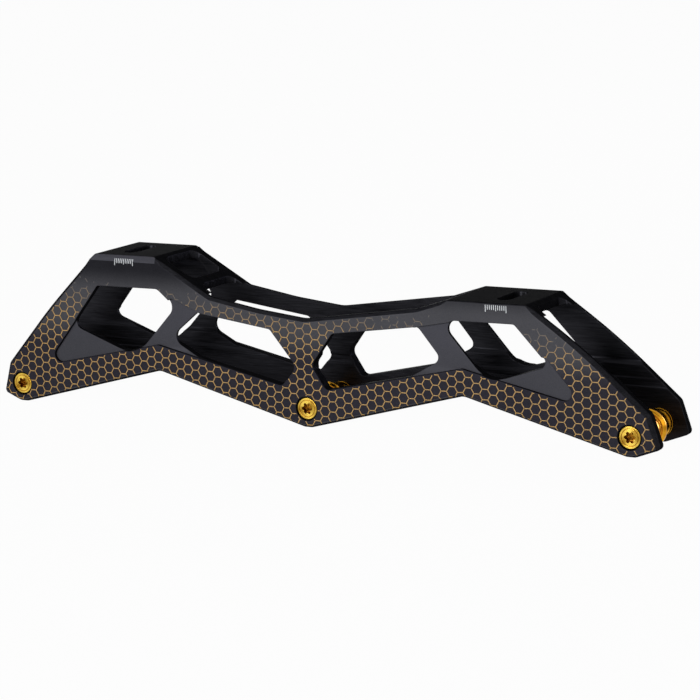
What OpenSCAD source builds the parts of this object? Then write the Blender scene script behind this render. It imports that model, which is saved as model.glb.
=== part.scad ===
// Inline skate frame for three large wheels: one milled channel, three axles,
// six flanged bushes and three turned spacers. Millimetres, +Z up, +X to the toe.

/* [Wheels] */
// distance from the rear axle to the front axle
wheel_base = 317.5; // [306:0.5:330]
// wheel diameter that the channel has to clear
wheel_d = 125; // [110:5:125]

/* [Section] */
// overall width over the two side walls
frame_w = 39; // [38:0.5:44]
// side wall thickness above the inner step
wall_top = 3.4; // [3:0.1:5]
// side wall thickness below the inner step
wall_low = 5.5; // [5.25:0.25:7]
// thickness of the rims beside the openings in the top
rim_t = 6.2; // [5:0.1:7]
// corner radius of the openings in the top
top_r = 4; // [2:0.5:6]
// height of the inner step over the axle line
step_z = 26.7; // [24:0.1:30]
// depth of the long inner groove
groove_d = 0.6; // [0.3:0.1:1]
// depth of the outer recesses
pocket_d = 1.6; // [0.8:0.1:1.8]

/* [Outline] */
// radius of the feet around the axles
foot_r = 9; // [8.6:0.1:10]
// height of the lower edge midway between two axles
valley_z = 11.6; // [9:0.2:13]
// height of the rim line midway between two axles
rim_peak_z = 24.2; // [22:0.2:25]
// height of the rim line at an axle
rim_low_z = 7; // [6:0.2:8]
// height of the top edge over the middle axle
waist_z = 41.3; // [39:0.1:42]

/* [Decks] */
// height of the rear mounting deck over the axle line
rear_deck_z = 65.5; // [63:0.5:68]
// height of the front mounting deck over the axle line
front_deck_z = 54.4; // [53:0.2:56]
// thickness of both decks
deck_t = 5; // [4.5:0.5:8]
// distance between the two mounting slots
mount_span = 195; // [190:1:200]
// width of a mounting slot
slot_w = 6.5; // [6:0.1:8.4]
// length of a mounting slot across the frame
slot_l = 22; // [16:0.5:24]
// width of the bevel on the outer edges of the rear deck
deck_bevel = 1.2; // [0.4:0.1:2]
// length along the frame of the cross bar on the rear slope
slope_bar_l = 4; // [3.5:0.5:6]
// height of that cross bar's underside over the axle line
slope_bar_z = 49.6; // [49.5:0.1:51]

/* [Axles] */
// shaft diameter
axle_d = 8; // [7:0.1:8.4]
// head diameter
head_d = 10.4; // [10:0.1:11.4]
// head length
head_l = 4.4; // [3.6:0.1:4.8]
// depth of the head below the face of the side wall
head_in = 0.6; // [0.2:0.1:1]
// radial gap around the head in the side wall
head_gap = 0.3; // [0.1:0.05:0.5]
// reach of the six-lobe key socket from the axis
socket_r = 2.7; // [2.2:0.1:3]
// depth of the key socket
socket_l = 2.6; // [1.5:0.1:3.2]

/* [Bushes and spacers] */
// radius of the bush flanges
flange_r = 6.4; // [6.1:0.1:7.5]
// thickness of the bush flanges
flange_t = 1.2; // [0.8:0.1:1.6]
// radius of the spacer's collars
collar_r = 7.2; // [6.4:0.1:7.6]
// radius of the spacer's disc
disc_r = 8.6; // [7.8:0.1:8.7]
// radius of the spacer's waist
spool_r = 5.5; // [5:0.1:6]
// running clearance on radius between shaft and bushes or spacers
run_gap = 0.05; // [0.02:0.01:0.1]
// end play at each side of a spacer
end_gap = 0.3; // [0.2:0.05:0.6]

/* [Hidden] */
$fn = 64;
eps = 1;
corner_steps = 8;
stretch = wheel_base / 317.5;
axle_x = wheel_base / 2;
valley_x = axle_x / 2;
half_w = frame_w / 2;
gap_top = half_w - wall_top;
gap_low = half_w - wall_low;
gap_rim = half_w - rim_t;
bore_r = head_d / 2 + head_gap;
shaft_r = axle_d / 2;
run_r = shaft_r + run_gap;
foot_z = foot_r - 0.2;
rim_fall = (rim_peak_z - rim_low_z) / valley_x;
foot_vertex = foot_r * 1.035;
mount_mid = -2;
rear_slot_x = mount_mid - mount_span / 2;
front_slot_x = mount_mid + mount_span / 2;
rear_under = rear_deck_z - deck_t;
front_under = front_deck_z - deck_t;
head_y = -half_w + head_in;
seat_y = -half_w + head_l;
seat_gap = 0.05;
spacer_l = 2 * (gap_low - flange_t - end_gap);

// height of the rim line at a distance x from the middle axle
function rim(x) = rim_low_z + rim_fall * (valley_x - abs(abs(x) - valley_x));

// one rounded corner: arc points around vertex b between the edges to a and c
function corner(a, b, c) =
    let (
        u = (a - b) / norm(a - b),
        v = (c - b) / norm(c - b),
        half = acos(u * v) / 2,
        r = b[2],
        t = r / tan(half),
        mid = (u + v) / norm(u + v),
        o = b + mid * r / sin(half),
        p = b + u * t - o,
        q = b + v * t - o,
        start = atan2(p[1], p[0]),
        turn = atan2(q[1], q[0]) - start,
        sweep = turn > 180 ? turn - 360 : turn < -180 ? turn + 360 : turn
    )
    [for (k = [0:corner_steps]) [o[0], o[1]] + r * [cos(start + sweep * k / corner_steps),
                                                  sin(start + sweep * k / corner_steps)]];

// a closed outline from vertices [x, z, corner radius]
function rounded(v) =
    let (n = len(v))
    [for (i = [0:n - 1])
        let (a = v[(i + n - 1) % n], b = v[i], c = v[(i + 1) % n])
        each b[2] > 0 ? corner([a[0], a[1], b[2]], b, [c[0], c[1], b[2]]) : [[b[0], b[1]]]];

// vertices with their lengths along the frame stretched to the wheel base
function along(v) = [for (p = v) [p[0] * stretch, p[1], p[2]]];

outline_v = concat(
    along([[-113, rear_deck_z, 2], [-80, rear_deck_z, 2], [-50, 48.4, 4]]),
    along([[-25, waist_z + 2.8, 100], [0, waist_z, 20], [57.5, 49.4, 4], [73, front_deck_z, 3]]),
    along([[111, front_deck_z, 2], [138.6, 35.7, 300], [168, 10.2, 4], [172.8, -4.4, 2.2]]),
    [[axle_x + 0.5, -foot_r * 1.05, foot_r], [valley_x, valley_z, 6], [0, -foot_vertex, foot_r]],
    [[-valley_x, valley_z, 6], [-axle_x - 0.5, -foot_r * 1.05, foot_r]],
    along([[-170, -5, 2.2], [-166, 9.7, 4], [-141.3, 37.6, 300]]));
outline = [for (p = rounded(outline_v)) [p[0], max(p[1], -foot_z)]];

shift_x = -(max([for (p = outline) p[0]]) + min([for (p = outline) p[0]])) / 2;

window_1 = rounded(along([
    [-112, 50.3, 1.5], [-78.5, 50.5, 4], [-69.3, 42.8, 5], [-92.7, 17.5, 15], [-127.9, 30.3, 3.5]]));
window_2 = rounded(along([
    [-57.5, 40.7, 1], [-18.2, 35.4, 2.5], [-4.6, 18.8, 4],
    [-12.6, rim(12.6), 2.5], [-57.8, rim(57.8), 0], [-73.2, 27.8, 4.5]]));
window_3 = rounded(along([
    [14.5, 35.5, 2.5], [57.3, 41.3, 3.5], [68.8, 27.3, 3],
    [53, rim(53), 0], [10.5, rim(10.5), 3], [3.4, 20.3, 4]]));
window_4 = rounded(along([
    [67.7, 45.3, 4], [105.2, 45.5, 2.5], [121.6, 28.2, 3], [91.5, 18.3, 14]]));
windows = [window_1, window_2, window_3, window_4];

pocket_rear = rounded(along([
    [-123.6, 35.2, 0], [-108, 44, 0], [-80, 42.5, 0], [-70.6, 46.4, 0], [-50, 38.2, 0], [-50, 25, 0],
    [-57.8, rim(57.8), 0], [-79.375, rim_peak_z, 4], [-143.7, rim(143.7), 3.4]]));
pocket_front = rounded(along([
    [47, 39.2, 0], [77, 45, 0], [112, 33, 0], [120.2, 31.6, 0], [138.4, rim(138.4), 3.5],
    [79.375, rim_peak_z, 4], [53, rim(53), 0], [47, 25, 0]]));

groove_lo = 15;
groove_hi = 19;
channel_half = [
    [gap_low, -40], [gap_low, groove_lo], [gap_low + groove_d, groove_lo + groove_d],
    [gap_low + groove_d, groove_hi - groove_d], [gap_low, groove_hi],
    [gap_low, step_z - (gap_top - gap_low)], [gap_top, step_z], [gap_top, front_under]];
channel = concat(channel_half, [for (i = [len(channel_half) - 1:-1:0]) [-channel_half[i][0], channel_half[i][1]]]);

rear_deck_x = [-117 * stretch, -78 * stretch];
front_deck_x = [72 * stretch, 113 * stretch];
slope_bar_x = [-58.4 * stretch - slope_bar_l, -58.4 * stretch];
reach = 300;
sky = 100;

// moves a piece from axle coordinates to the part's own origin on the floor
module place() {
    translate([shift_x, 0, foot_z]) children();
}

// an outline in the side view, given a width across the frame
module across(points, width, y = 0) {
    translate([0, y, 0]) rotate([90, 0, 0]) linear_extrude(height = width, center = true) polygon(points);
}

// a round bar across the frame between two y values
module bar(r, y0, y1, x = 0) {
    translate([x, y0, 0]) rotate([-90, 0, 0]) cylinder(r = r, h = y1 - y0);
}

// open space between the rims, from x0 to x1
module opening(x0, x1, z0, z1) {
    translate([x0, -gap_rim, z0]) cube([x1 - x0, 2 * gap_rim, z1 - z0]);
}

// an opening through the top with rounded corners, from x0 to x1
module top_opening(x0, x1) {
    opening(x0 + top_r, x1 - top_r, front_under - eps, sky);
    translate([0, 0, front_under - eps]) {
        translate([x0, top_r - gap_rim, 0]) cube([x1 - x0, 2 * (gap_rim - top_r), sky - front_under + eps]);
        for (x = [x0 + top_r, x1 - top_r], s = [-1, 1])
            translate([x, s * (gap_rim - top_r), 0]) cylinder(r = top_r, h = sky - front_under + eps);
    }
}

// a mounting slot across a deck
module slot(x) {
    end_y = (slot_l - slot_w) / 2;
    translate([x, 0, 30]) {
        for (s = [-1, 1]) translate([0, s * end_y, 0]) cylinder(d = slot_w, h = sky);
        translate([-slot_w / 2, -end_y, 0]) cube([slot_w, 2 * end_y, sky]);
    }
}

// a sloped strip taken off the outer top edge of the rear deck
module deck_edge(s) {
    depth = 3;
    run = [-120 * stretch, -79 * stretch];
    translate([(run[0] + run[1]) / 2, 0, 0])
        rotate([90, 0, 90])
            linear_extrude(height = run[1] - run[0], center = true)
                polygon([[s * half_w, rear_deck_z - depth], [s * (half_w - deck_bevel), rear_deck_z],
                         [s * (half_w - deck_bevel), rear_deck_z + eps], [s * (half_w + eps), rear_deck_z + eps],
                         [s * (half_w + eps), rear_deck_z - depth]]);
}

module frame_body() {
    color("#2d2d31") place() difference() {
        across(outline, frame_w);
        for (w = windows) across(w, frame_w + 2 * eps);
        for (s = [-1, 1]) {
            across(pocket_rear, 2 * pocket_d, s * half_w);
            across(pocket_front, 2 * pocket_d, s * half_w);
            deck_edge(s);
        }
        rotate([90, 0, 90]) linear_extrude(height = 2 * reach, center = true) polygon(channel);
        opening(-reach, rear_deck_x[1] + top_r, front_under - eps, rear_under);
        opening(slope_bar_x[0] - eps, slope_bar_x[1] + eps, front_under - eps, slope_bar_z);
        top_opening(-reach, rear_deck_x[0]);
        top_opening(rear_deck_x[1], slope_bar_x[0]);
        top_opening(slope_bar_x[1], front_deck_x[0]);
        top_opening(front_deck_x[1], reach);
        slot(rear_slot_x);
        slot(front_slot_x);
        for (i = [-1:1]) bar(bore_r, -half_w - eps, half_w + eps, i * axle_x);
    }
}

// axle screw: head at the left wall, plain shaft, end in the right wall's bush
module axle(x) {
    edge = 0.4;
    tip = half_w - 0.6;
    ring_r = 3.9;
    lobe_r = 0.75;
    color("#d9a520") place() difference() {
        translate([x, 0, 0]) rotate([-90, 0, 0]) rotate_extrude() polygon([
            [0, head_y], [head_d / 2 - edge, head_y], [head_d / 2, head_y + edge],
            [head_d / 2, seat_y - seat_gap], [shaft_r, seat_y - seat_gap],
            [shaft_r, tip - edge], [shaft_r - edge, tip], [0, tip]]);
        bar(socket_r - lobe_r, head_y - eps, head_y + socket_l, x);
        for (k = [0:5]) translate([x, 0, 0]) rotate([0, 60 * k, 0])
            translate([socket_r - lobe_r, 0, 0]) bar(lobe_r, head_y - eps, head_y + socket_l);
        translate([x, head_y, 0]) rotate([-90, 0, 0]) rotate_extrude()
            translate([ring_r, 0]) square([0.3, 0.4], center = true);
    }
}

// flanged bush in the left wall, under the axle's head
module near_bush(x) {
    color("#d0981c") place() difference() {
        union() {
            bar(bore_r, seat_y, -gap_low, x);
            bar(flange_r, -gap_low, -gap_low + flange_t, x);
        }
        bar(run_r, -half_w, 0, x);
    }
}

// flanged bush in the right wall, takes the axle's end
module far_bush(x) {
    color("#d0981c") place() difference() {
        union() {
            bar(bore_r, gap_low, half_w, x);
            bar(flange_r, gap_low - flange_t, gap_low, x);
        }
        bar(run_r, 0, half_w + eps, x);
    }
}

// turned spacer that keeps the place of a wheel between the bushes
module spacer(x) {
    h = spacer_l / 2;
    neck = 2.6;
    end_r = spool_r + 0.9;
    ridge_r = spool_r + 0.7;
    notch = 1;
    color("#dba41e") place() translate([x, 0, 0]) rotate([-90, 0, 0]) rotate_extrude() polygon([
        [run_r, -h], [spool_r, -h], [spool_r, -h + neck],
        [collar_r, -h + neck + 0.4], [collar_r, -3.2], [collar_r - notch, -2.9], [collar_r - notch, -2.1],
        [collar_r, -1.8], [collar_r, 0], [disc_r, 0.6], [disc_r, 1.6], [spool_r, 3],
        [spool_r, 4.2], [ridge_r, 5], [ridge_r, 5.8], [spool_r, 6.6], [spool_r, h - 2 * neck],
        [spool_r + 0.3, h - neck], [end_r, h - 1], [end_r, h], [run_r, h]]);
}

module rear_axle() axle(-axle_x);
module middle_axle() axle(0);
module front_axle() axle(axle_x);
module rear_near_bush() near_bush(-axle_x);
module middle_near_bush() near_bush(0);
module front_near_bush() near_bush(axle_x);
module rear_far_bush() far_bush(-axle_x);
module middle_far_bush() far_bush(0);
module front_far_bush() far_bush(axle_x);
module rear_spacer() spacer(-axle_x);
module middle_spacer() spacer(0);
module front_spacer() spacer(axle_x);

frame_body();
rear_axle();
middle_axle();
front_axle();
rear_near_bush();
middle_near_bush();
front_near_bush();
rear_far_bush();
middle_far_bush();
front_far_bush();
rear_spacer();
middle_spacer();
front_spacer();
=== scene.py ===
"""Looks of an inline skate frame: a milled black channel, a printed honeycomb and gold turned parts."""

import logging
import math
from dataclasses import dataclass, field
from enum import Enum
from typing import Any, Optional, Sequence

import bmesh
import bpy
from mathutils import Matrix, Vector
from mathutils.geometry import intersect_point_line


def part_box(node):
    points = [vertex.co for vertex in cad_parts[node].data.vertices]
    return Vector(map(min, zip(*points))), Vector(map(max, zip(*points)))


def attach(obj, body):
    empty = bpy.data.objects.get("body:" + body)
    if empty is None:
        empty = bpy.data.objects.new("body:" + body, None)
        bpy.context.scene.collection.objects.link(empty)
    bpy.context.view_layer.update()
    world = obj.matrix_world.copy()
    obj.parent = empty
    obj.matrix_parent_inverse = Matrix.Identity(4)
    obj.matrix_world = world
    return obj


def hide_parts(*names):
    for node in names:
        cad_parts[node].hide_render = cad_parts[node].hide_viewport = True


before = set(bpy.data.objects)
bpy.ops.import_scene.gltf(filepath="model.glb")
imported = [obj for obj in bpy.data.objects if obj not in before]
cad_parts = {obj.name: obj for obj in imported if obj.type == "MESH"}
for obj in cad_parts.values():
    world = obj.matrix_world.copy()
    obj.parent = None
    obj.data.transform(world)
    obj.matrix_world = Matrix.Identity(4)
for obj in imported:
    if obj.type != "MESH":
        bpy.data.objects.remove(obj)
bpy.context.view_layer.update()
log = logging.getLogger("skate_frame")
MM = 0.001
AXLES = ("rear", "middle", "front")
CAD_MERGE = 0.003 * MM  # loose corners closer than this are one
CAD_FLAT = math.radians(0.3)  # faces that turn less than this are one
NOISE_SPAN = {"From Min": 0.3, "From Max": 0.7}  # where nearly all of a noise's values lie


class Side(Enum):
    """The two side walls, by the sign of their place across the frame."""

    HEAD = -1
    THREAD = 1


class Finish(Enum):
    """The channel's finishes, by their place in its list of materials."""

    SIDE = 0
    # lighter: the recess floors, and a painted highlight on broken edges and the deck chamfer
    RECESS = 1
    # near black: the tops, inner walls and window walls, as painted shade
    MILLED = 2


class Border(Enum):
    """What a printed wall ends at, which sets how far the print keeps away."""

    INNER = 0
    LOWER = 1
    UPPER = 2
    MILLED = 3
    BORE = 4


def linear(colour: str) -> tuple[float, float, float, float]:
    """Turns an sRGB hex colour into linear red, green, blue and alpha.

    Args:
        colour: The colour as "#rrggbb".

    Returns:
        The four linear values.
    """
    parts = [int(colour[i:i + 2], 16) / 255 for i in (1, 3, 5)]
    values = [c / 12.92 if c <= 0.04045 else ((c + 0.055) / 1.055) ** 2.4 for c in parts]
    return values[0], values[1], values[2], 1.0


def fill(tree: bpy.types.NodeTree, node: bpy.types.Node, inputs: dict[Any, Any]) -> None:
    """Sets or links a node's inputs.

    Args:
        tree: The tree that holds the node.
        node: The node.
        inputs: Input name or index to a value, a socket to link, or a list of sockets.
    """
    for key, value in inputs.items():
        for item in value if isinstance(value, list) else [value]:
            if isinstance(item, bpy.types.NodeSocket):
                tree.links.new(item, node.inputs[key])
            else:
                node.inputs[key].default_value = item


def add_node(tree: bpy.types.NodeTree, kind: str, inputs: Optional[dict[Any, Any]] = None,
             **settings: Any) -> bpy.types.Node:
    """Adds a node, sets its properties and fills or links its inputs.

    Args:
        tree: The tree that gets the node.
        kind: Blender's type name of the node.
        inputs: Its inputs, as for fill.
        **settings: Properties of the node itself.

    Returns:
        The new node.
    """
    node = tree.nodes.new(kind)
    for name, value in settings.items():
        setattr(node, name, value)
    fill(tree, node, inputs or {})
    return node


def new_finish(name: str) -> tuple[bpy.types.Material, bpy.types.NodeTree, bpy.types.Node]:
    """Opens a material with a plain shader.

    Args:
        name: Name of the material.

    Returns:
        The material, its tree and its shader.
    """
    material = bpy.data.materials.new(name)
    material.use_nodes = True
    return material, material.node_tree, material.node_tree.nodes["Principled BSDF"]


def seen_directly(tree: bpy.types.NodeTree) -> bpy.types.NodeSocket:
    """Tells rays that show a surface to the eye, also by a mirror or glass, from rays that light it.

    Args:
        tree: The tree that asks.

    Returns:
        A socket that is 1 for the eye and 0 for light.
    """
    path = add_node(tree, "ShaderNodeLightPath").outputs
    seen = path["Is Camera Ray"]
    for other in ("Is Glossy Ray", "Is Transmission Ray"):
        seen = add_node(tree, "ShaderNodeMath", {0: seen, 1: path[other]}, operation="MAXIMUM").outputs[0]
    return seen


def new_piece(name: str, copy: bmesh.types.BMesh) -> bpy.types.Object:
    """Ends the editing of a mesh and puts it into the scene.

    Args:
        name: Name of the object and of its mesh.
        copy: The edited mesh, which is freed.

    Returns:
        The new object.
    """
    mesh = bpy.data.meshes.new(name)
    copy.to_mesh(mesh)
    copy.free()
    return new_object(name, mesh)


def new_object(name: str, mesh: bpy.types.Mesh) -> bpy.types.Object:
    """Puts a mesh into the scene under a name.

    Args:
        name: The object's name.
        mesh: Its mesh, with its place in its vertices.

    Returns:
        The new object.
    """
    made = bpy.data.objects.new(name, mesh)
    bpy.context.scene.collection.objects.link(made)
    return made


def merged_copy(node: str) -> bmesh.types.BMesh:
    """Copies a CAD node, joins its loose triangles and clears lines inside flat faces.

    Args:
        node: Name of the CAD node.

    Returns:
        An editable copy of its mesh.
    """
    copy = bmesh.new()
    copy.from_mesh(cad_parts[node].data)
    bmesh.ops.remove_doubles(copy, verts=copy.verts, dist=CAD_MERGE)
    bmesh.ops.dissolve_limit(copy, angle_limit=CAD_FLAT, verts=copy.verts, edges=copy.edges)
    copy.normal_update()
    return copy


def settle(piece: bpy.types.Object) -> None:
    """Turns a piece's modifiers into plain mesh, so that it carries none.

    Args:
        piece: The piece with live modifiers.
    """
    bpy.context.view_layer.update()
    shaped = piece.evaluated_get(bpy.context.evaluated_depsgraph_get())
    mesh = bpy.data.meshes.new_from_object(shaped)
    mesh.name = piece.name
    piece.modifiers.clear()
    piece.data = mesh


def place(piece: bpy.types.Object, body: str, stands_for: Sequence[str] = ()) -> None:
    """Rides a finished piece on its body and reports it.

    Args:
        piece: The finished piece.
        body: The CAD body that carries it.
        stands_for: CAD nodes that it replaces.
    """
    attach(piece, body)
    if stands_for:
        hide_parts(*stands_for)
    log.info("%s: %d faces on %s", piece.name, len(piece.data.polygons), body)


def axle_point(name: str) -> Vector:
    """Gives the middle of an axle's box, on the axle line.

    Args:
        name: Which axle: rear, middle or front.

    Returns:
        The point, in metres.
    """
    low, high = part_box(f"{name}_axle")
    return (low + high) / 2


def near_axle(spot: Vector) -> float:
    """Gives the distance from a point to the nearest axle line."""
    return min((spot - axle_point(a)).xz.length for a in AXLES)


@dataclass(frozen=True)
class BlackAnodised:
    """Anodised aluminium, bead blasted before the dye: a satin charcoal with a faint fine grain; lighter
    higher up the wall, a painted sheen that stands for light from above, and darker again at the heel deck."""

    name: str = "anodised_aluminium_black"
    low: tuple[str, str] = ("#26252b", "#2f2e35")
    # high: the lighter tone up the wall, a painted sheen from light above
    high: tuple[str, str] = ("#3f3f43", "#47474b")
    deck: tuple[str, str] = ("#1d1d21", "#252529")
    painted_sheen_turn: tuple[float, float] = (20.0, 36.0)
    deck_turn: tuple[float, float] = (47.0, 60.0)
    edge: str = "#0c0c0d"
    roughness: float = 0.48
    metallic: float = 0.25
    gloss: float = 0.004
    blotch_mm: float = 28.0
    grain_mm: float = 0.45  # real blast grain is near 0.1 mm; drawn coarser to show
    grain_height: float = 0.12
    grain_bump: float = 0.02 * MM
    blotch_share: float = 0.6
    mix_span: tuple[float, float] = (0.55, 1.05)
    rough_span: tuple[float, float] = (-0.05, 0.06)
    streak: tuple[float, float, float] = (1.0, 1.0, 1.0)

    def build(self) -> bpy.types.Material:
        """Makes the material.

        Returns:
            The finished material.
        """
        material, tree, shader = new_finish(self.name)
        spot = add_node(tree, "ShaderNodeTexCoord").outputs["Object"]
        drawn = add_node(tree, "ShaderNodeVectorMath", {0: spot, 1: self.streak},
                         operation="MULTIPLY").outputs[0]
        blotch = add_node(tree, "ShaderNodeTexNoise", {
            "Vector": drawn, "Scale": 1 / (self.blotch_mm * MM), "Detail": 3.0}).outputs["Fac"]
        grain = add_node(tree, "ShaderNodeTexNoise", {
            "Vector": drawn, "Scale": 1 / (self.grain_mm * MM), "Detail": 2.0}).outputs["Fac"]
        mixed = add_node(tree, "ShaderNodeMath", {0: blotch, 1: self.blotch_share, 2: grain},
                         operation="MULTIPLY_ADD")
        share = add_node(tree, "ShaderNodeMapRange", {
            "Value": mixed.outputs[0], "From Min": self.mix_span[0],
            "From Max": self.mix_span[1]}).outputs["Result"]
        height = add_node(tree, "ShaderNodeSeparateXYZ", {0: spot}).outputs[2]
        axle = axle_point("middle").z
        tone = None
        # up the wall the tone turns lighter, a painted sheen from light above, then darker again at the heel
        # deck
        for pair, turn in ((self.low, None), (self.high, self.painted_sheen_turn), (self.deck, self.deck_turn)):
            ends = {6: linear(pair[0]), 7: linear(pair[1])}
            patch = add_node(tree, "ShaderNodeMix", {0: share, **ends}, data_type="RGBA").outputs[2]
            if turn:
                rise = add_node(tree, "ShaderNodeMapRange", {
                    "Value": height, "From Min": axle + turn[0] * MM, "From Max": axle + turn[1] * MM},
                    interpolation_type="SMOOTHSTEP").outputs["Result"]
                patch = add_node(tree, "ShaderNodeMix", {0: rise, 6: tone, 7: patch},
                                 data_type="RGBA").outputs[2]
            tone = patch
        rough = add_node(tree, "ShaderNodeMapRange", {
            "Value": grain, **NOISE_SPAN, "To Min": self.roughness + self.rough_span[0],
            "To Max": self.roughness + self.rough_span[1]}).outputs["Result"]
        bump = add_node(tree, "ShaderNodeBump", {
            "Height": grain, "Strength": self.grain_height, "Distance": self.grain_bump}).outputs["Normal"]
        fill(tree, shader, {
            "Metallic": self.metallic, "Specular IOR Level": self.gloss, "Specular Tint": linear(self.edge),
            "Base Color": tone, "Roughness": rough, "Normal": bump})
        return material


@dataclass(frozen=True)
class GoldAnodised:
    """Turned aluminium with a gold dye: a warm metal with fine rings left by the tool, and a painted sheen in
    its colour that opens in two fans about the axis."""

    name: str = "turned_aluminium_gold"
    deep: str = "#8a651a"
    bright: str = "#e8c556"
    roughness: float = 0.22
    # the painted sheen's two fans: where they point and how deep they go
    sheen_fan_angle: float = -65.0
    sheen_fan_depth: float = 0.34
    ring_mm: float = 0.42  # real tool marks are near 0.1 mm; drawn coarser to show
    ring_share: float = 0.12
    ring_height: float = 0.18
    ring_bump: float = 0.02 * MM
    mottle_mm: float = 3.0
    rough_span: tuple[float, float] = (-0.04, 0.08)

    def build(self) -> bpy.types.Material:
        """Makes the material.

        Returns:
            The finished material.
        """
        material, tree, shader = new_finish(self.name)
        spot = add_node(tree, "ShaderNodeTexCoord").outputs["Object"]
        parts = add_node(tree, "ShaderNodeSeparateXYZ", {0: spot}).outputs
        middle = axle_point("middle")
        pitch = axle_point("front").x - middle.x
        near = add_node(tree, "ShaderNodeMath", {
            0: parts[0], 1: middle.x + pitch / 2, 2: middle.x - pitch / 2}, operation="WRAP").outputs[0]
        across = add_node(tree, "ShaderNodeMath", {0: near, 1: middle.x}, operation="SUBTRACT").outputs[0]
        above = add_node(tree, "ShaderNodeMath", {0: parts[2], 1: middle.z}, operation="SUBTRACT").outputs[0]
        flat = add_node(tree, "ShaderNodeCombineXYZ", {0: across, 2: above}).outputs[0]
        radius = add_node(tree, "ShaderNodeVectorMath", {0: flat}, operation="LENGTH").outputs["Value"]
        along = add_node(tree, "ShaderNodeMath", {0: radius, 1: parts[1]}, operation="ADD").outputs[0]
        turns = add_node(tree, "ShaderNodeMath", {0: along, 1: 2 * math.pi / (self.ring_mm * MM)},
                         operation="MULTIPLY").outputs[0]
        rings = add_node(tree, "ShaderNodeMath", {0: turns}, operation="SINE").outputs[0]
        noise = add_node(tree, "ShaderNodeTexNoise", {
            "Vector": spot, "Scale": 1 / (self.mottle_mm * MM), "Detail": 3.0}).outputs["Fac"]
        # painted sheen: the colour turns lighter and darker in two fans about the axis, standing in for the
        # reflection on turned metal
        angle = add_node(tree, "ShaderNodeMath", {0: above, 1: across}, operation="ARCTAN2").outputs[0]
        twice = add_node(tree, "ShaderNodeMath", {0: angle, 1: 2.0, 2: -2 * math.radians(self.sheen_fan_angle)},
                         operation="MULTIPLY_ADD").outputs[0]
        painted_sheen_fan = add_node(tree, "ShaderNodeMath", {0: twice}, operation="COSINE").outputs[0]
        mottled = add_node(tree, "ShaderNodeMath", {0: rings, 1: self.ring_share, 2: noise},
                           operation="MULTIPLY_ADD").outputs[0]
        share = add_node(tree, "ShaderNodeMath", {0: painted_sheen_fan, 1: self.sheen_fan_depth, 2: mottled},
                         operation="MULTIPLY_ADD", use_clamp=True).outputs[0]
        tone = add_node(tree, "ShaderNodeMix", {0: share, 6: linear(self.deep), 7: linear(self.bright)},
                        data_type="RGBA").outputs[2]
        rough = add_node(tree, "ShaderNodeMapRange", {
            "Value": noise, **NOISE_SPAN, "To Min": self.roughness + self.rough_span[0],
            "To Max": self.roughness + self.rough_span[1]}).outputs["Result"]
        bump = add_node(tree, "ShaderNodeBump", {
            "Height": rings, "Strength": self.ring_height, "Distance": self.ring_bump}).outputs["Normal"]
        fill(tree, shader, {"Metallic": 1.0, "Base Color": tone, "Roughness": rough, "Normal": bump})
        return material


@dataclass(frozen=True)
class PrintInk:
    """Screen ink on the anodised wall: thin, matt and a little uneven, so its colour shifts in small
    specks; it can thin out to the wall's own grey."""

    name: str
    colour: str
    worn: str
    ground: str = "#3c3c40"
    fades: bool = False
    roughness: float = 0.5
    speck_mm: float = 1.6
    speck_height: float = 0.1
    speck_bump: float = 0.01 * MM

    def build(self) -> bpy.types.Material:
        """Makes the material.

        Returns:
            The finished material.
        """
        material, tree, shader = new_finish(self.name)
        spot = add_node(tree, "ShaderNodeTexCoord").outputs["Object"]
        noise = add_node(tree, "ShaderNodeTexNoise", {
            "Vector": spot, "Scale": 1 / (self.speck_mm * MM), "Detail": 2.0}).outputs["Fac"]
        tone = add_node(tree, "ShaderNodeMix", {0: noise, 6: linear(self.worn), 7: linear(self.colour)},
                        data_type="RGBA").outputs[2]
        if self.fades:
            cover = add_node(tree, "ShaderNodeAttribute", attribute_name="cover").outputs["Fac"]
            tone = add_node(tree, "ShaderNodeMix", {0: cover, 6: linear(self.ground), 7: tone},
                            data_type="RGBA").outputs[2]
        bump = add_node(tree, "ShaderNodeBump", {
            "Height": noise, "Strength": self.speck_height, "Distance": self.speck_bump}).outputs["Normal"]
        fill(tree, shader, {
            "Metallic": 0.0, "Roughness": self.roughness, "Base Color": tone, "Normal": bump})
        return material


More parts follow.
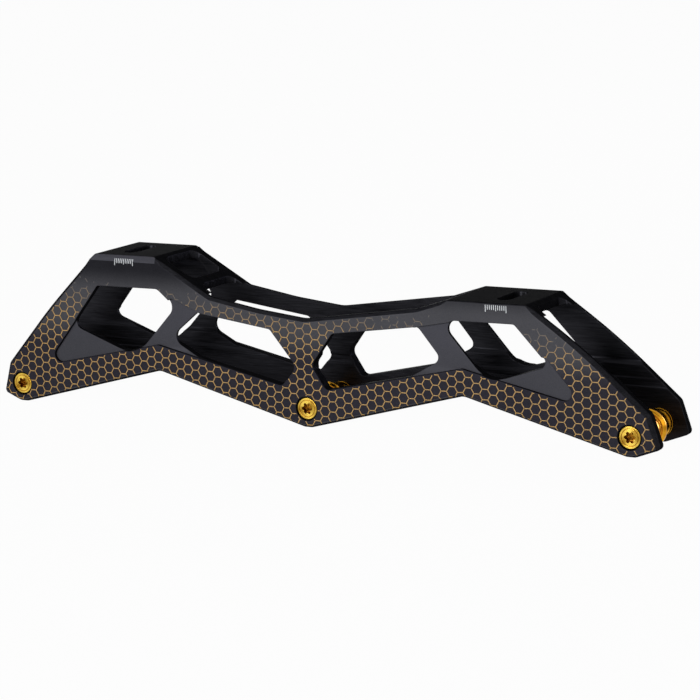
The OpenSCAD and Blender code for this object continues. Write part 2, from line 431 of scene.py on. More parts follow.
@dataclass
class FrameShell:
    """The milled channel: the CAD shape with its outline rounded below and chamfered above, and its
    other edges broken."""

    low_round: float = 2.1 * MM
    top_chamfer: float = 1.4 * MM
    toe_chamfer: float = 1.9 * MM
    leg_start: float = 110.0 * MM
    leg_run: float = 55.0 * MM
    deck_round: float = 0.5 * MM
    run_out: float = 9.0 * MM
    sweep_step: float = 4.0 * MM
    edge_break: float = 0.4 * MM
    inner_break: float = 0.3 * MM
    pocket_depth: float = 1.6 * MM
    foot_drop: float = 9.3 * MM
    valley_rise: float = 11.6 * MM
    tip_drop: float = 4.5 * MM
    foot_clear: float = 7.0 * MM
    rear_deck_low: float = 62.0 * MM
    rear_deck_end: float = -78.5 * MM
    front_deck_low: float = 53.9 * MM
    round_steps: int = 6
    low_band: float = 1.6 * MM
    touch: float = 0.01 * MM
    level: float = 0.05 * MM
    merge: float = 0.004 * MM
    waste: float = 2.0 * MM
    outline_turn: float = 0.5
    flat_from: float = 0.6
    flat_over: float = 0.4
    mitre_least: float = 0.5
    same_plane: float = 0.2
    edge_angle: float = 30.0
    hollow_angle: float = 20.0
    face_on: float = 0.99
    zone_face: float = 0.999
    past_end: float = 0.01
    # normals of the deck chamfer, whose faces get the lighter finish as a painted highlight
    deck_bevel_highlight: tuple[float, float] = (0.9, 0.96)
    shell: Optional[bpy.types.Object] = field(default=None, init=False)
    zones: dict[Side, bpy.types.Object] = field(default_factory=dict, init=False)

    def __post_init__(self) -> None:
        """Reads the places that the CAD sets."""
        self.half_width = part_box("frame_body")[1].y
        self.middle = axle_point("middle")
        self.pitch = axle_point("front").x - self.middle.x

    def is_low(self, spot: Vector) -> bool:
        """Tells whether a point lies on the lower outline.

        Args:
            spot: A point on the outline.

        Returns:
            True on the zigzag lower line and its feet.
        """
        out = abs(spot.x - self.middle.x)
        if out > self.pitch:
            return spot.z < self.middle.z - self.tip_drop
        share = 1 - abs(out - self.pitch / 2) / (self.pitch / 2)
        line = self.middle.z - self.foot_drop + (self.valley_rise + self.foot_drop) * share
        return spot.z < line + self.low_band

    def is_outer(self, edge: bmesh.types.BMEdge, side: Optional[Side] = None) -> bool:
        """Tells whether an edge lies on an outer wall face, of one side or of either."""
        signs = [side.value] if side else [s.value for s in Side]
        return any(all(v.co.y * s > self.half_width - self.touch for v in edge.verts) for s in signs)

    def on_rear_deck(self, spot: Vector) -> bool:
        """Tells whether a point lies on the rear deck, whose edge is bevelled in the CAD."""
        return spot.z > self.middle.z + self.rear_deck_low and spot.x < self.middle.x + self.rear_deck_end

    def outline_chain(self, copy: bmesh.types.BMesh) -> list[Vector]:
        """Walks the outer outline from the rear deck down the heel, round the toe and back.

        Args:
            copy: The unrounded channel.

        Returns:
            Its points in order, at most one sweep step apart.
        """
        linked: dict[bmesh.types.BMVert, list[bmesh.types.BMVert]] = {}
        for edge in copy.edges:
            if self.is_outer(edge, Side.HEAD) and edge.calc_face_angle_signed(0.0) > self.outline_turn \
                    and not self.on_rear_deck((edge.verts[0].co + edge.verts[1].co) / 2):
                for a, b in (edge.verts, reversed(edge.verts)):
                    linked.setdefault(a, []).append(b)
        spot = min((v for v, others in linked.items() if len(others) == 1), key=lambda v: v.co.x)
        chain = [spot]
        while spot is not None:
            spot = next((v for v in linked[spot] if v not in chain), None)
            if spot is not None:
                chain.append(spot)
        points = []
        for a, b in zip(chain, chain[1:]):
            parts = max(1, round((b.co - a.co).length / self.sweep_step))
            points += [a.co.lerp(b.co, k / parts) for k in range(parts)]
        return points + [chain[-1].co.copy()]

    def radii(self, chain: list[Vector], flats: list[float]) -> list[float]:
        """Gives the edge size at each point: small at the decks, growing to full size away from them.

        Args:
            chain: The outline's points in order.
            flats: How far each point's edge is a flat chamfer.

        Returns:
            One size a point.
        """
        runs = [0.0]
        for a, b in zip(chain, chain[1:]):
            runs.append(runs[-1] + (b - a).length)
        small = [(0.0, self.edge_break), (runs[-1], self.edge_break)]
        small += [(run, self.deck_round) for run, spot in zip(runs, chain)
                  if spot.z > self.middle.z + self.front_deck_low and spot.x > self.middle.x]
        slope = self.low_round / self.run_out
        sizes = []
        for run, spot, flat in zip(runs, chain, flats):
            ahead = min(1.0, max(0.0, (spot.x - self.middle.x - self.leg_start) / self.leg_run))
            chamfer = self.top_chamfer + (self.toe_chamfer - self.top_chamfer) * ahead
            full = self.low_round + (chamfer - self.low_round) * flat
            sizes.append(min(full, min(size + slope * abs(run - at) for at, size in small)))
        return sizes

    def round_cutter(self, chain: list[Vector]) -> bpy.types.Object:
        """Sweeps the waste outside the edge along both walls: rounded below, chamfered above.

        Args:
            chain: The outline's points in order.

        Returns:
            A closed cutter.
        """
        inwards, mitres = [], []
        for i in range(len(chain)):
            ways = [(chain[j + 1] - chain[j]).normalized() for j in (i - 1, i) if 0 <= j < len(chain) - 1]
            inwards.append(sum((Vector((-w.z, 0, w.x)) for w in ways), Vector()).normalized())
            square = inwards[-1].dot(Vector((-ways[0].z, 0, ways[0].x)))
            mitres.append(inwards[-1] / max(self.mitre_least, square))
        flats = [min(1.0, max(0.0, (self.flat_from - way.z) / self.flat_over)) for way in inwards]
        copy = bmesh.new()
        for side in Side:
            rings = []
            for spot, mitre, flat, reach in zip(chain, mitres, flats, self.radii(chain, flats)):
                ring = [(-self.waste, -self.waste), (reach, -self.waste)]
                for k in range(self.round_steps + 1):
                    turn, share = math.pi / 2 * k / self.round_steps, k / self.round_steps
                    down = (1 - math.sin(turn)) * (1 - flat) + (1 - share) * flat
                    deep = (1 - math.cos(turn)) * (1 - flat) + share * flat
                    ring.append((reach * down, reach * deep))
                ring.append((-self.waste, reach))
                rings.append([copy.verts.new((spot.x + mitre.x * d, side.value * (self.half_width - h),
                                              spot.z + mitre.z * d)) for d, h in ring])
            for one, two in zip(rings, rings[1:]):
                for k in range(len(one)):
                    copy.faces.new((one[k - 1], one[k], two[k], two[k - 1]))
            copy.faces.new(rings[0])
            copy.faces.new(rings[-1])
        bmesh.ops.recalc_face_normals(copy, faces=copy.faces)
        return new_piece("round_cutter", copy)

    def build(self) -> None:
        """Makes the rounded shell and the flat zones that carry print."""
        copy = merged_copy("frame_body")
        chain = self.outline_chain(copy)
        for side in Side:
            self.zones[side] = self.print_zone(copy, side, chain)
        cutter = self.round_cutter(chain)
        self.shell = new_piece("channel_shell", copy)
        cut = self.shell.modifiers.new("round", "BOOLEAN")
        cut.object = cutter
        cut.operation = "DIFFERENCE"
        cut.solver = "EXACT"
        settle(self.shell)
        bpy.data.objects.remove(cutter)
        self.break_edges()

    def break_edges(self) -> None:
        """Gives each face its finish and breaks every sharp outward edge a little."""
        copy = bmesh.new()
        copy.from_mesh(self.shell.data)
        bmesh.ops.remove_doubles(copy, verts=copy.verts, dist=self.merge)
        bmesh.ops.dissolve_limit(copy, angle_limit=math.radians(self.same_plane),
                                 verts=copy.verts, edges=copy.edges)
        copy.normal_update()
        weight = copy.edges.layers.float.new("bevel_weight_edge")
        for edge in copy.edges:
            turn = edge.calc_face_angle_signed(0.0)
            if len(edge.link_faces) == 2 and turn > math.radians(self.edge_angle):
                edge[weight] = 1.0 if self.is_outer(edge) else self.inner_break / self.edge_break
            elif turn < -math.radians(self.hollow_angle):
                edge.smooth = False
        for face in copy.faces:
            depth = self.half_width - abs(face.calc_center_median().y)
            upright = abs(face.normal.y)
            floor = upright > self.face_on and abs(depth - self.pocket_depth) < self.level
            # outer faces keep the side finish; recess floors and the deck chamfer take the lighter finish,
            # the chamfer as a painted highlight; all else takes the near-black milled finish as painted shade
            if upright > self.face_on and depth < self.level:
                finish = Finish.SIDE
            elif floor or self.deck_bevel_highlight[0] < upright < self.deck_bevel_highlight[1]:
                finish = Finish.RECESS
            else:
                finish = Finish.MILLED
            face.material_index = finish.value
            face.smooth = True
        copy.to_mesh(self.shell.data)
        copy.free()
        bevel = self.shell.modifiers.new("edges", "BEVEL")
        bevel.limit_method = "WEIGHT"
        bevel.width = self.edge_break
        bevel.segments = 2
        bevel.use_clamp_overlap = False
        bevel.loop_slide = False
        # the broken edges take the lighter finish: a painted highlight along every edge
        bevel.material = Finish.RECESS.value
        normals = self.shell.modifiers.new("normals", "WEIGHTED_NORMAL")
        normals.weight = 100
        normals.keep_sharp = True
        settle(self.shell)

    def border_kind(self, spot: Vector, chain: list[Vector]) -> Border:
        """Tells what kind of border a point on a wall's rim lies on.

        Args:
            spot: Middle of a rim edge.
            chain: The outline's points in order.

        Returns:
            Lower or upper outline, or a milled window or recess.
        """
        for a, b in zip(chain, chain[1:]):
            near = intersect_point_line(spot.xz, a.xz, b.xz)
            if -self.past_end < near[1] < 1 + self.past_end and (near[0].xy - spot.xz).length < self.level:
                return Border.LOWER if self.is_low(spot) else Border.UPPER
        return Border.MILLED

    def print_zone(self, copy: bmesh.types.BMesh, side: Side,
                   chain: list[Vector]) -> bpy.types.Object:
        """Cuts out the flat outer faces of one wall, with each border edge marked by kind.

        Args:
            copy: The unrounded channel.
            side: Which wall.
            chain: The outline's points in order.

        Returns:
            A helper object, removed once the print is laid.
        """
        zone = copy.copy()
        drop = [f for f in zone.faces if f.normal.y * side.value < self.zone_face
                or f.calc_center_median().y * side.value < self.half_width - self.level]
        bmesh.ops.delete(zone, geom=drop, context="FACES")
        kind = zone.edges.layers.int.new("border")
        for edge in zone.edges:
            spot = (edge.verts[0].co + edge.verts[1].co) / 2
            if len(edge.link_faces) != 1:
                edge[kind] = Border.INNER.value
            elif near_axle(spot) < self.foot_clear:
                edge[kind] = Border.BORE.value
            else:
                edge[kind] = self.border_kind(spot, chain).value
        return new_piece(f"zone_{side.name.lower()}", zone)

    def dress(self) -> None:
        """Gives the shell its finishes."""
        self.shell.data.materials.append(BlackAnodised().build())
        # recess floors: the same dye all the way up, a little lighter and smoother; the broken edges and the
        # deck chamfer get it too, as a painted highlight along the edges
        self.shell.data.materials.append(BlackAnodised(
            name="anodised_aluminium_recess", low=("#3b3b40", "#434348"), high=("#3d3d43", "#45454b"),
            deck=("#3d3d43", "#45454b"), roughness=0.44).build())
        # left smooth by the cutter, with faint streaks along the cut; its near-black tone is painted shade on
        # the tops, the inner walls and the window walls
        self.shell.data.materials.append(BlackAnodised(
            name="anodised_aluminium_milled", low=("#18181b", "#29292d"), high=("#1a1a1d", "#2b2b2f"),
            deck=("#1a1a1d", "#2b2b2f"), roughness=0.32, metallic=0.5, gloss=0.0005, blotch_mm=3.0,
            streak=(0.05, 1.0, 1.0)).build())
        place(self.shell, "frame", ["frame_body"])

    def clear_zones(self) -> None:
        """Removes the helper zones."""
        for helper in self.zones.values():
            bpy.data.objects.remove(helper)


class LaidTree:
    """A Geometry Nodes tree that draws marks flat and lays them on the shell as a thin closed film."""

    START = 40 * MM  # clear of the wall on either side
    REACH = 60 * MM
    MERGE = 0.001 * MM

    def __init__(self, name: str, channel: FrameShell, side: Side, ink: bpy.types.Material, lift: float,
                 sizes: dict[str, tuple[str, Any]]) -> None:
        """Opens the tree and its named inputs.

        Args:
            name: Name of the tree.
            channel: The frame that carries the marks.
            side: Which wall they lie on.
            ink: Their material.
            lift: Thickness of the film, and its height above the wall.
            sizes: Further input names, each to its socket type and value.
        """
        self.tree = bpy.data.node_groups.new(name, "GeometryNodeTree")
        self.sizes = {
            "Shell": ("Object", channel.shell), "Ink": ("Material", ink),
            "Side": ("Float", float(side.value)), "Lift": ("Float", lift), **sizes}
        face = self.tree.interface
        face.new_socket("Geometry", in_out="INPUT", socket_type="NodeSocketGeometry")
        face.new_socket("Geometry", in_out="OUTPUT", socket_type="NodeSocketGeometry")
        self.keys = {n: face.new_socket(n, in_out="INPUT", socket_type=f"NodeSocket{kind}").identifier
                     for n, (kind, _) in self.sizes.items()}
        self.inputs = self.add("NodeGroupInput").outputs

    def add(self, kind: str, inputs: Optional[dict[Any, Any]] = None, **settings: Any) -> bpy.types.Node:
        """Adds a node to this tree."""
        return add_node(self.tree, kind, inputs, **settings)

    def out(self, kind: str, inputs: Optional[dict[Any, Any]] = None,
            **settings: Any) -> bpy.types.NodeSocket:
        """Adds a node to this tree and gives its first output."""
        return self.add(kind, inputs, **settings).outputs[0]

    def wall_spot(self, depth: bpy.types.NodeSocket) -> bpy.types.NodeSocket:
        """Gives each point's place with its y set to a depth."""
        parts = self.add("ShaderNodeSeparateXYZ", {0: self.out("GeometryNodeInputPosition")}).outputs
        return self.out("ShaderNodeCombineXYZ", {0: parts[0], 1: depth, 2: parts[2]})

    def lay(self, flat: bpy.types.NodeSocket) -> None:
        """Drops flat marks on the shell, gives them thickness and their ink, and closes the tree.

        Args:
            flat: Geometry of the marks, drawn in the side view.
        """
        side = self.inputs["Side"]
        start = self.out("ShaderNodeMath", {0: side, 1: self.START}, operation="MULTIPLY")
        back = self.out("ShaderNodeMath", {0: side, 1: -1.0}, operation="MULTIPLY")
        shell = self.add("GeometryNodeObjectInfo", {"Object": self.inputs["Shell"]}).outputs["Geometry"]
        ray = self.add("GeometryNodeRaycast", {
            "Target Geometry": shell, "Source Position": self.wall_spot(start),
            "Ray Direction": self.out("ShaderNodeCombineXYZ", {1: back}), "Ray Length": self.REACH})
        rise = self.out("ShaderNodeMath", {0: side, 1: self.inputs["Lift"]}, operation="MULTIPLY")
        lift = self.out("ShaderNodeCombineXYZ", {1: rise})
        spot = self.out("ShaderNodeVectorMath", {0: ray.outputs["Hit Position"], 1: lift}, operation="ADD")
        laid = self.out("GeometryNodeSetPosition", {
            "Geometry": flat, "Selection": ray.outputs["Is Hit"], "Position": spot})
        top = self.add("GeometryNodeExtrudeMesh", {
            "Mesh": laid, "Offset": lift, "Individual": False}, mode="FACES").outputs["Mesh"]
        under = self.out("GeometryNodeFlipFaces", {"Mesh": laid})
        film = self.out("GeometryNodeJoinGeometry", {0: [top, under]})
        closed = self.out("GeometryNodeMergeByDistance", {"Geometry": film, "Distance": self.MERGE})
        whole = self.out("GeometryNodeRealizeInstances", {0: closed})
        inked = self.out("GeometryNodeSetMaterial", {"Geometry": whole, "Material": self.inputs["Ink"]})
        self.add("NodeGroupOutput", {0: inked})

    def apply(self, carrier: bpy.types.Object) -> None:
        """Runs the tree on a carrier and leaves the result as its plain mesh.

        Args:
            carrier: Object whose mesh is the tree's input.
        """
        modifier = carrier.modifiers.new(self.tree.name, "NODES")
        modifier.node_group = self.tree
        for name, (_, value) in self.sizes.items():
            modifier[self.keys[name]] = value
        settle(carrier)


@dataclass
class HoneycombPrint:
    """Flat-topped honeycomb lines on both outer walls, thinning out towards the decks."""

    pitch: float = 4.67 * MM
    line: float = 0.39 * MM
    phase_x: float = 1.75 * MM
    phase_z: float = -0.37 * MM
    columns: int = 101
    rows: int = 29
    margins: dict[Border, float] = field(default_factory=lambda: {
        Border.LOWER: 1.0 * MM, Border.UPPER: 1.9 * MM, Border.MILLED: 0.6 * MM, Border.BORE: 0.3 * MM})
    fade_from: float = 31 * MM
    fade_to: float = 46.5 * MM
    fade_tilt: float = 0.034
    cloud: float = 5 * MM
    cloud_depth: float = 20 * MM
    faintest: float = 0.04
    overlap: float = 0.58
    line_points: int = 7
    look: float = 2 * MM
    lift: float = 0.012 * MM

    def build(self, channel: FrameShell, ink: bpy.types.Material) -> None:
        """Lays the print on both walls.

        Args:
            channel: The frame that carries it.
            ink: The print's material.
        """
        for side in Side:
            mesh = channel.zones[side].data.copy()
            piece = new_object(f"honeycomb_{side.name.lower()}", mesh)
            drawn = LaidTree(piece.name, channel, side, ink, self.lift, {
                "Pitch": ("Float", self.pitch), "Line": ("Float", self.line),
                "Columns": ("Int", self.columns), "Rows": ("Int", self.rows),
                "Centre": ("Vector", (channel.middle.x + self.phase_x, 0.0, channel.middle.z + self.phase_z)),
                "Wall": ("Float", side.value * channel.half_width),
                "Fade from": ("Float", channel.middle.z + self.fade_from),
                "Fade to": ("Float", channel.middle.z + self.fade_to)})
            self.draw(drawn, self.lines(drawn, side), side)
            drawn.apply(piece)
            place(piece, "frame")

    def lines(self, t: LaidTree, side: Side) -> bpy.types.NodeSocket:
        """Spreads a field of cells with three lines each.

        Args:
            t: The tree to fill.
            side: Which wall it is for.

        Returns:
            The lines, over the whole side view.
        """
        pitch = t.inputs["Pitch"]
        edge = t.out("ShaderNodeMath", {0: pitch, 1: math.sqrt(3)}, operation="DIVIDE")
        step = t.out("ShaderNodeMath", {0: edge, 1: 1.5}, operation="MULTIPLY")
        half = t.out("ShaderNodeMath", {0: pitch, 1: 0.5}, operation="MULTIPLY")
        spans = []
        for count, gap in (("Columns", step), ("Rows", pitch)):
            gaps = t.out("ShaderNodeMath", {0: t.inputs[count], 1: 1.0}, operation="SUBTRACT")
            spans.append(t.out("ShaderNodeMath", {0: gap, 1: gaps}, operation="MULTIPLY"))
        grid = t.add("GeometryNodeMeshGrid", {
            "Size X": spans[0], "Size Y": spans[1], "Vertices X": t.inputs["Columns"],
            "Vertices Y": t.inputs["Rows"]}).outputs["Mesh"]
        parts = t.add("ShaderNodeSeparateXYZ", {0: t.out("GeometryNodeInputPosition")}).outputs
        steps = t.out("ShaderNodeMath", {0: parts[0], 1: step}, operation="DIVIDE")
        column = t.out("ShaderNodeMath", {0: steps}, operation="ROUND")
        number = t.out("ShaderNodeMath", {0: column}, operation="ABSOLUTE")
        odd = t.out("ShaderNodeMath", {0: number, 1: 2.0}, operation="MODULO")
        raised = t.out("ShaderNodeMath", {0: odd, 1: half}, operation="MULTIPLY")
        up = t.out("ShaderNodeMath", {0: parts[1], 1: raised}, operation="ADD")
        flat = t.out("ShaderNodeCombineXYZ", {0: parts[0], 2: up})
        spot = t.out("ShaderNodeVectorMath", {0: flat, 1: t.inputs["Centre"]}, operation="ADD")
        cells = t.out("GeometryNodeSetPosition", {"Geometry": grid, "Position": spot})
        length = t.out("ShaderNodeMath", {0: t.inputs["Line"], 1: self.overlap, 2: edge},
                       operation="MULTIPLY_ADD")
        strip = t.add("GeometryNodeMeshGrid", {
            "Size X": length, "Size Y": t.inputs["Line"], "Vertices X": self.line_points,
            "Vertices Y": 2}).outputs["Mesh"]
        lift = t.out("ShaderNodeCombineXYZ", {1: half})
        first = t.out("GeometryNodeTransform", {"Geometry": strip, "Translation": lift})
        turned = [t.out("GeometryNodeTransform", {
            "Geometry": first, "Rotation": (0, 0, math.radians(-60 * k))}) for k in range(3)]
        star = t.out("GeometryNodeJoinGeometry", {0: turned})
        spread = t.out("GeometryNodeInstanceOnPoints", {
            "Points": cells, "Instance": star, "Rotation": (math.radians(-90 * side.value), 0, 0)})
        return t.out("GeometryNodeRealizeInstances", {0: spread})

    def draw(self, t: LaidTree, lines: bpy.types.NodeSocket, side: Side) -> None:
        """Cuts the lines back from every border, thins them out towards the decks and lays them.

        Args:
            t: The tree to fill.
            lines: The lines, over the whole side view.
            side: Which wall it is for.
        """
        wall = t.wall_spot(t.inputs["Wall"])
        aim = (0.0, -float(side.value), 0.0)
        off = (0.0, side.value * self.look / 2, 0.0)
        outside = t.out("ShaderNodeVectorMath", {0: wall, 1: off}, operation="ADD")
        keep = t.add("GeometryNodeRaycast", {
            "Target Geometry": t.inputs["Geometry"], "Source Position": outside, "Ray Direction": aim,
            "Ray Length": self.look}).outputs["Is Hit"]
        kind = t.add("GeometryNodeInputNamedAttribute", {"Name": "border"},
                     data_type="INT").outputs["Attribute"]
        for border, margin in self.margins.items():
            other = t.out("FunctionNodeCompare", {2: kind, 3: border.value},
                          data_type="INT", operation="NOT_EQUAL")
            rim = t.out("GeometryNodeDeleteGeometry", {
                "Geometry": t.inputs["Geometry"], "Selection": other}, domain="EDGE")
            gap = t.add("GeometryNodeProximity", {0: rim, "Sample Position": wall}, target_element="EDGES")
            clear = t.out("FunctionNodeCompare", {0: gap.outputs["Distance"], 1: margin},
                          data_type="FLOAT", operation="GREATER_THAN")
            keep = t.out("FunctionNodeBooleanMath", {0: keep, 1: clear}, operation="AND")
        spots = t.add("ShaderNodeSeparateXYZ", {0: wall}).outputs
        height = t.out("ShaderNodeMath", {0: spots[0], 1: self.fade_tilt, 2: spots[2]},
                       operation="MULTIPLY_ADD")
        cloud = t.add("ShaderNodeTexNoise", {
            "Vector": wall, "Scale": 1 / self.cloud, "Detail": 2.0}).outputs["Fac"]
        sunk = t.out("ShaderNodeMath", {0: height, 1: self.cloud_depth / 2}, operation="SUBTRACT")
        blown = t.out("ShaderNodeMath", {0: cloud, 1: self.cloud_depth, 2: sunk}, operation="MULTIPLY_ADD")
        cover = t.add("ShaderNodeMapRange", {
            "Value": blown, "From Min": t.inputs["Fade from"], "From Max": t.inputs["Fade to"],
            "To Min": 1.0, "To Max": 0.0}).outputs["Result"]
        shown = t.out("FunctionNodeCompare", {0: cover, 1: self.faintest},
                      data_type="FLOAT", operation="GREATER_THAN")
        keep = t.out("FunctionNodeBooleanMath", {0: keep, 1: shown}, operation="AND")
        gone = t.out("FunctionNodeBooleanMath", {0: keep}, operation="NOT")
        cut = t.out("GeometryNodeDeleteGeometry", {"Geometry": lines, "Selection": gone}, domain="FACE")
        marked = t.out("GeometryNodeStoreNamedAttribute", {
            "Geometry": cut, "Name": "cover", "Value": cover}, data_type="FLOAT", domain="POINT")
        t.lay(marked)


@dataclass
class DeckScale:
    """White scale marks beside each mounting slot, longer at the ends and in the middle."""

    count: int = 11
    spacing: float = 1.0 * MM
    width: float = 0.36 * MM
    short: float = 2.1 * MM
    centre: float = 2.6 * MM
    ends: float = 3.1 * MM
    rear_x: float = -96.3 * MM
    front_x: float = 96.8 * MM
    rear_top: float = 63.9 * MM
    front_top: float = 53.5 * MM
    mark_points: int = 9
    slack: float = 0.01
    lift: float = 0.012 * MM

    def build(self, channel: FrameShell, ink: bpy.types.Material) -> None:
        """Lays both scales on both walls.

        Args:
            channel: The frame that carries them.
            ink: The marks' material.
        """
        for side in Side:
            spots = ("rear", self.rear_x, self.rear_top), ("front", self.front_x, self.front_top)
            for name, x, z in spots:
                piece = new_object(f"{name}_scale_{side.name.lower()}", bpy.data.meshes.new("scale"))
                left = channel.middle.x + x - self.spacing * (self.count - 1) / 2
                start = Vector((left, 0, channel.middle.z + z))
                drawn = LaidTree(piece.name, channel, side, ink, self.lift, {
                    "Count": ("Int", self.count), "Spacing": ("Float", self.spacing),
                    "Width": ("Float", self.width), "Short": ("Float", self.short),
                    "Centre": ("Float", self.centre), "Ends": ("Float", self.ends),
                    "Start": ("Vector", start)})
                self.draw(drawn, side)
                drawn.apply(piece)
                place(piece, "frame")

    def draw(self, t: LaidTree, side: Side) -> None:
        """Builds the tree: a row of points with one hanging mark each.

        Args:
            t: The tree to fill.
            side: Which wall it is for.
        """
        short = t.inputs["Short"]
        step = t.out("ShaderNodeCombineXYZ", {0: t.inputs["Spacing"]})
        row = t.out("GeometryNodeMeshLine", {
            "Count": t.inputs["Count"], "Start Location": t.inputs["Start"], "Offset": step})
        last = t.out("ShaderNodeMath", {0: t.inputs["Count"], 1: 1.0}, operation="SUBTRACT")
        share = t.out("ShaderNodeMath", {0: t.out("GeometryNodeInputIndex"), 1: last}, operation="DIVIDE")
        aside = t.out("ShaderNodeMath", {0: share, 1: 0.5}, operation="SUBTRACT")
        off = t.out("ShaderNodeMath", {0: aside}, operation="ABSOLUTE")
        extras = []
        tests = ("Ends", "GREATER_THAN", 0.5 - self.slack), ("Centre", "LESS_THAN", self.slack)
        for name, test, limit in tests:
            here = t.out("ShaderNodeMath", {0: off, 1: limit}, operation=test)
            more = t.out("ShaderNodeMath", {0: t.inputs[name], 1: short}, operation="SUBTRACT")
            extras.append(t.out("ShaderNodeMath", {0: here, 1: more}, operation="MULTIPLY"))
        extra = t.out("ShaderNodeMath", {0: extras[0], 1: extras[1]}, operation="ADD")
        length = t.out("ShaderNodeMath", {0: short, 1: extra}, operation="ADD")
        size = t.out("ShaderNodeCombineXYZ", {0: 1.0, 1: length, 2: 1.0})
        strip = t.add("GeometryNodeMeshGrid", {
            "Size X": t.inputs["Width"], "Size Y": 1.0, "Vertices X": 2,
            "Vertices Y": self.mark_points}).outputs["Mesh"]
        hang = t.out("GeometryNodeTransform", {"Geometry": strip, "Translation": (0, 0.5 * side.value, 0)})
        marks = t.out("GeometryNodeInstanceOnPoints", {
            "Points": row, "Instance": hang, "Rotation": (math.radians(-90 * side.value), 0, 0),
            "Scale": size})
        t.lay(t.out("GeometryNodeRealizeInstances", {0: marks}))


@dataclass
class TurnedParts:
    """Axle screws, bushes and spacers: CAD shapes with their turned edges broken."""

    edge_break: float = 0.14 * MM
    steps: int = 2
    socket_radius: float = 2.8 * MM
    socket_depth: float = 2.7 * MM
    face_depth: float = 0.05 * MM
    edge_angle: float = 32.0

    def build(self) -> None:
        """Makes every turned piece and puts it on its body."""
        gold = GoldAnodised().build()
        # the key socket is cut, not turned: a browner gold, painted shade for the deep socket
        socket = GoldAnodised("broached_aluminium_gold", deep="#6a4410", bright="#b27c26",
                              roughness=0.3).build()
        # bushes and spacers are polished: a deeper gold, smoother so its reflections are harder, with the
        # painted sheen fans as bright and dark bands
        amber = GoldAnodised("polished_aluminium_gold", deep="#9c640c", bright="#eeb232",
                             roughness=0.16).build()
        for axle in AXLES:
            self.piece(f"{axle}_axle", f"{axle}_axle", [gold, socket], "axle_gold")
            self.piece(f"{axle}_spacer", f"{axle}_spacer", [amber], "spacer_gold")
            self.piece(f"{axle}_near_bush", "frame", [amber], "bush_gold")
            self.piece(f"{axle}_far_bush", "frame", [amber], "bush_gold")

    def in_socket(self, spot: Vector) -> bool:
        """Tells whether a point lies inside an axle's key socket."""
        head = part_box("middle_axle")[0].y
        return near_axle(spot) < self.socket_radius and self.face_depth < spot.y - head < self.socket_depth

    def piece(self, node: str, body: str, finishes: list[bpy.types.Material], slot: str) -> None:
        """Makes one turned piece.

        Args:
            node: The CAD node that it stands for.
            body: The body that carries it.
            finishes: Its material, and a second one for a key socket.
            slot: Not used.
        """
        copy = merged_copy(node)
        for face in copy.faces:
            face.smooth = True
            if len(finishes) > 1 and self.in_socket(face.calc_center_median()):
                face.material_index = 1
        made = new_piece(f"{node}_turned", copy)
        for finish in finishes:
            made.data.materials.append(finish)
        bevel = made.modifiers.new("edges", "BEVEL")
        bevel.limit_method = "ANGLE"
        bevel.angle_limit = math.radians(self.edge_angle)
        bevel.width = self.edge_break
        bevel.segments = self.steps
        normals = made.modifiers.new("normals", "WEIGHTED_NORMAL")
        normals.weight = 100
        settle(made)
        place(made, body, [node])


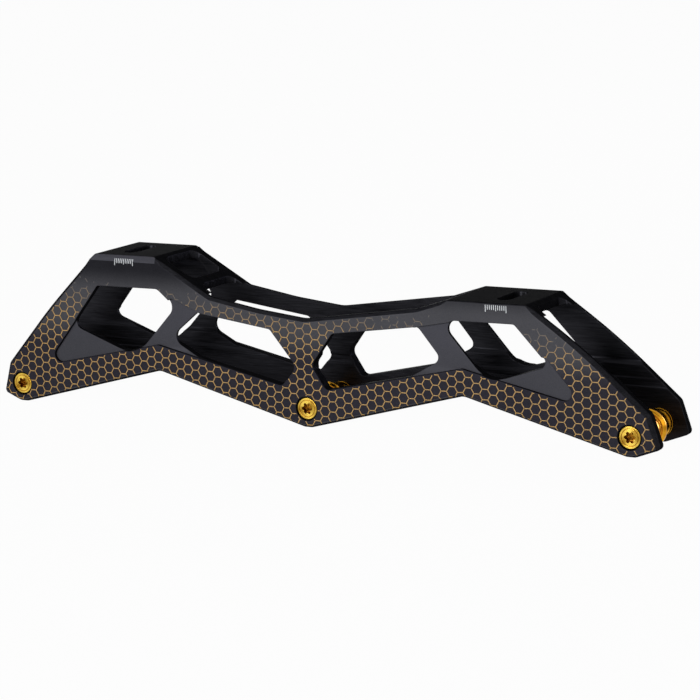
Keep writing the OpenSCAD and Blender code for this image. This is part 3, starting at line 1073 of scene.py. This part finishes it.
@dataclass
class Studio:
    """White floor and sky, soft lamps and the camera at the photograph's angle."""

    eye: tuple[float, float, float] = (605.36 * MM, -1041.25 * MM, 268.22 * MM)
    yaw: float = 29.706
    pitch: float = 11.09
    roll: float = -1.841
    lens: float = 137.94
    sensor: float = 36.0
    view_end: float = 50.0
    floor_half: float = 6.0
    white_share: float = 0.97
    sky_light: float = 0.06
    lamps: dict[str, tuple[Sequence[float], Sequence[float], float, float]] = field(default_factory=lambda: {
        "key": ((-0.25, -1.6, 0.28), (0.02, 0.0, 0.03), 0.8, 24.0),
        "fill": ((0.9, -1.5, 0.25), (0.05, 0.0, 0.03), 0.7, 3.0),
        "back": ((0.9, 1.5, 0.3), (0.0, 0.0, 0.03), 0.8, 12.0)})

    def build(self) -> None:
        """Makes the floor, the light and the camera."""
        self.floor()
        self.world()
        for name, (spot, aim, size, power) in self.lamps.items():
            self.lamp(name, spot, aim, size, power)
        self.camera()

    def floor(self) -> None:
        """Makes a pale floor that shows white but keeps a light shadow."""
        copy = bmesh.new()
        bmesh.ops.create_grid(copy, x_segments=1, y_segments=1, size=self.floor_half)
        ground = new_piece("floor", copy)
        material = bpy.data.materials.new("studio_floor")
        material.use_nodes = True
        tree = material.node_tree
        tree.nodes.clear()
        share = add_node(tree, "ShaderNodeMath", {0: seen_directly(tree), 1: self.white_share},
                         operation="MULTIPLY")
        pale = add_node(tree, "ShaderNodeBsdfDiffuse", {"Color": (0.9, 0.9, 0.9, 1)})
        white = add_node(tree, "ShaderNodeEmission", {"Color": (1, 1, 1, 1), "Strength": 1.0})
        both = add_node(tree, "ShaderNodeMixShader", {
            0: share.outputs[0], 1: pale.outputs[0], 2: white.outputs[0]})
        add_node(tree, "ShaderNodeOutputMaterial", {0: both.outputs[0]})
        ground.data.materials.append(material)

    def world(self) -> None:
        """Makes the sky: white to the eye, dimmer as light."""
        world = bpy.data.worlds.new("studio")
        world.use_nodes = True
        bpy.context.scene.world = world
        tree = world.node_tree
        tree.nodes.clear()
        level = add_node(tree, "ShaderNodeMapRange", {
            "Value": seen_directly(tree), "To Min": self.sky_light, "To Max": 1.0})
        sky = add_node(tree, "ShaderNodeBackground", {
            "Color": (1, 1, 1, 1), "Strength": level.outputs["Result"]})
        add_node(tree, "ShaderNodeOutputWorld", {0: sky.outputs[0]})

    def lamp(self, name: str, spot: Sequence[float], aim: Sequence[float], size: float,
             power: float) -> None:
        """Adds a square soft lamp.

        Args:
            name: The lamp's name.
            spot: Where it hangs, in metres.
            aim: The point that it faces.
            size: Its side, in metres.
            power: Its power, in watts.
        """
        data = bpy.data.lights.new(name, "AREA")
        data.size = size
        data.energy = power
        made = bpy.data.objects.new(name, data)
        made.location = spot
        made.rotation_euler = (Vector(aim) - Vector(spot)).to_track_quat("-Z", "Y").to_euler()
        bpy.context.scene.collection.objects.link(made)

    def camera(self) -> None:
        """Places the camera by its measured turn."""
        yaw, pitch, roll = (math.radians(a) for a in (self.yaw, self.pitch, self.roll))
        ahead = Vector((-math.sin(yaw) * math.cos(pitch), math.cos(yaw) * math.cos(pitch), -math.sin(pitch)))
        right = Vector((math.cos(yaw), math.sin(yaw), 0))
        up = right.cross(ahead)
        across = right * math.cos(roll) + up * math.sin(roll)
        upright = up * math.cos(roll) - right * math.sin(roll)
        data = bpy.data.cameras.new("camera")
        data.sensor_width = self.sensor
        data.sensor_fit = "HORIZONTAL"
        data.lens = self.lens
        data.clip_end = self.view_end
        made = bpy.data.objects.new("camera", data)
        turn = Matrix((across, upright, -ahead)).transposed().to_4x4()
        made.matrix_world = Matrix.Translation(Vector(self.eye)) @ turn
        bpy.context.scene.collection.objects.link(made)
        bpy.context.scene.camera = made


def main() -> None:
    """Builds every piece in order."""
    logging.basicConfig(level=logging.INFO, format="%(message)s")
    bpy.context.scene.view_settings.view_transform = "Standard"
    Studio().build()
    channel = FrameShell()
    channel.build()
    gold_ink = PrintInk("ink_honeycomb", "#bc9655", "#a07c43", fades=True).build()
    HoneycombPrint().build(channel, gold_ink)
    white_ink = PrintInk("ink_white", "#d6dadd", "#c2c6ca").build()
    DeckScale().build(channel, white_ink)
    channel.dress()
    channel.clear_zones()
    TurnedParts().build()


if __name__ == "__main__":
    main()
